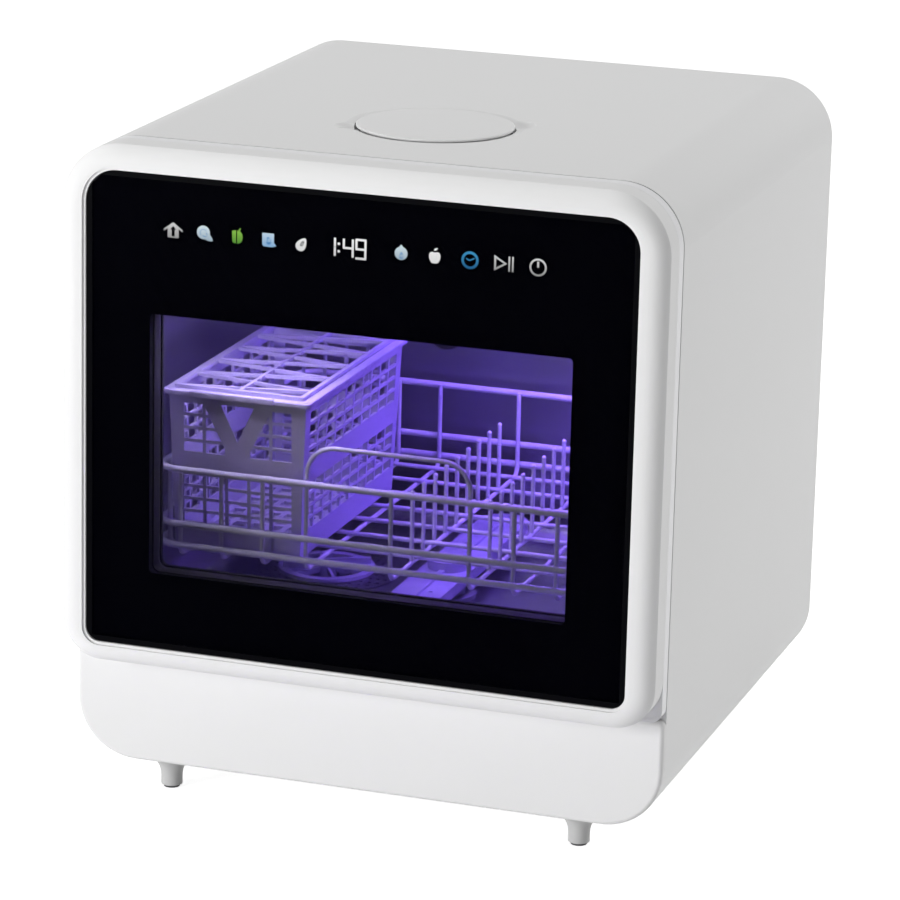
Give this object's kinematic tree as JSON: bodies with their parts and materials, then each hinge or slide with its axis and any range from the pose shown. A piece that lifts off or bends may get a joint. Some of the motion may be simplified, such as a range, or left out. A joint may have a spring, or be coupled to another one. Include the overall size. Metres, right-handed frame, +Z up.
{
  "type": "countertop dishwasher",
  "caption": "Compact countertop dishwasher with rounded tube body, drop-down glass door, sliding wire rack, cutlery basket, spray arms and water tank lid.",
  "frame": {"origin": "middle of the footprint, on the surface that the four feet stand on", "axes": "+X to the right seen from the front, +Y from the door to the rear, +Z up"},
  "size_m": [0.42, 0.43, 0.4622],
  "materials": {
    "shell_white": "satin white moulded plastic",
    "inner_white": "plain white plastic",
    "grey_plastic": "plain grey plastic",
    "dark_plastic": "black plastic",
    "lilac_plastic": "lavender grey polypropylene",
    "seal_rubber": "soft seal rubber",
    "foot_rubber": "rubber foot pad",
    "tub_steel": "brushed stainless steel",
    "bright_steel": "bright steel",
    "coated_wire": "nylon coated steel wire",
    "clear_glass": "clear tempered glass",
    "black_print": "black print behind the glass",
    "clear_tank": "milky tank plastic",
    "circuit": "circuit board with its parts",
    "violet_lens": "violet lamp lens"
  },
  "bodies": {
    "cabinet": {"outer_shell": "shell_white", "front_collar": "inner_white", "plinth_panel": "shell_white", "rear_panel": "inner_white", "base_tray": "grey_plastic", "feet": "inner_white", "foot_pads": "foot_rubber", "tub": "tub_steel", "tub_gasket": "seal_rubber", "rack_rail_left": "grey_plastic", "rack_rail_right": "grey_plastic", "sump": "grey_plastic", "filter_plate": "tub_steel", "spray_hub": "grey_plastic", "riser_pipe": "grey_plastic", "wash_pump": "dark_plastic", "drain_pump": "dark_plastic", "heater": "tub_steel", "pump_hoses": "grey_plastic", "tank_hose": "grey_plastic", "hose_clamps": "bright_steel", "inlet_valve": "inner_white", "drain_spigot": "grey_plastic", "power_gland": "dark_plastic", "control_board": "circuit", "drying_fan": "dark_plastic", "lamp_bar": "inner_white", "lamp_lens": "violet_lens", "hinge_lugs": "inner_white", "latch_catch": "grey_plastic", "rear_screws": "bright_steel", "water_tank": "clear_tank", "fill_funnel": "inner_white"},
    "door": {"door_frame": "shell_white", "front_glass": "clear_glass", "glass_mask": "black_print", "display_module": "dark_plastic", "window_spacer": "dark_plastic", "door_liner": "inner_white", "inner_window": "clear_glass", "detergent_cup": "lilac_plastic", "hinge_brackets": "bright_steel", "hinge_pins": "bright_steel", "latch_hook": "bright_steel"},
    "detergent_cover": {"detergent_lid": "inner_white"},
    "lid": {"tank_lid": "shell_white", "lid_seal": "seal_rubber"},
    "lower_arm": {"lower_spray_arm": "lilac_plastic"},
    "upper_arm": {"upper_spray_arm": "lilac_plastic"},
    "filter": {"filter_cup": "lilac_plastic"},
    "rack": {"dish_rack": "coated_wire", "plate_tines": "coated_wire", "wheel_clips": "grey_plastic"},
    "cutlery": {"cutlery_basket": "lilac_plastic", "cutlery_grid": "lilac_plastic"},
    "wheel_fl": {"wheel_front_left": "grey_plastic"},
    "wheel_fr": {"wheel_front_right": "grey_plastic"},
    "wheel_rl": {"wheel_rear_left": "grey_plastic"},
    "wheel_rr": {"wheel_rear_right": "grey_plastic"}
  },
  "joints": [
    {"name": "door_hinge", "type": "hinge", "parent": "cabinet", "child": "door", "pos_m": [0, -0.191, 0.108], "axis": [1, 0, 0], "range_deg": [0, 90]},
    {"name": "rack_slide", "type": "slide", "parent": "cabinet", "child": "rack", "axis": [0, -1, 0], "range_m": [0, 0.123]},
    {"name": "wheel_fl_roll", "type": "hinge", "parent": "rack", "child": "wheel_fl", "pos_m": [-0.1733, -0.1227, 0.175], "axis": [1, 0, 0], "range_deg": [0, 800]},
    {"name": "wheel_fr_roll", "type": "hinge", "parent": "rack", "child": "wheel_fr", "pos_m": [0.1733, -0.1227, 0.175], "axis": [1, 0, 0], "range_deg": [0, 800]},
    {"name": "wheel_rl_roll", "type": "hinge", "parent": "rack", "child": "wheel_rl", "pos_m": [-0.1733, 0.0997, 0.175], "axis": [1, 0, 0], "range_deg": [0, 800]},
    {"name": "wheel_rr_roll", "type": "hinge", "parent": "rack", "child": "wheel_rr", "pos_m": [0.1733, 0.0997, 0.175], "axis": [1, 0, 0], "range_deg": [0, 800]},
    {"name": "basket_lift", "type": "slide", "parent": "rack", "child": "cutlery", "axis": [0, 0, 1], "range_m": [0, 0.07]},
    {"name": "lower_arm_spin", "type": "hinge", "parent": "cabinet", "child": "lower_arm", "pos_m": [0, -0.009, 0.125], "axis": [0, 0, 1], "continuous": true},
    {"name": "upper_arm_spin", "type": "hinge", "parent": "cabinet", "child": "upper_arm", "pos_m": [0, -0.009, 0.366], "axis": [0, 0, 1], "continuous": true},
    {"name": "filter_twist", "type": "hinge", "parent": "cabinet", "child": "filter", "pos_m": [-0.1, 0.013, 0.112], "axis": [0, 0, 1], "range_deg": [0, 90]},
    {"name": "lid_lift", "type": "slide", "parent": "cabinet", "child": "lid", "axis": [0, 0, 1], "range_m": [0, 0.06]},
    {"name": "detergent_slide", "type": "slide", "parent": "door", "child": "detergent_cover", "axis": [1, 0, 0], "range_m": [0, 0.048]}
  ],
  "couplings": [
    {"joint": "rack_slide", "follows": "door_hinge", "m_per_rad": 0.077668},
    {"joint": "wheel_fl_roll", "follows": "door_hinge", "ratio": 8.6297},
    {"joint": "wheel_fr_roll", "follows": "door_hinge", "ratio": 8.6297},
    {"joint": "wheel_rl_roll", "follows": "door_hinge", "ratio": 8.6297},
    {"joint": "wheel_rr_roll", "follows": "door_hinge", "ratio": 8.6297}
  ]
}
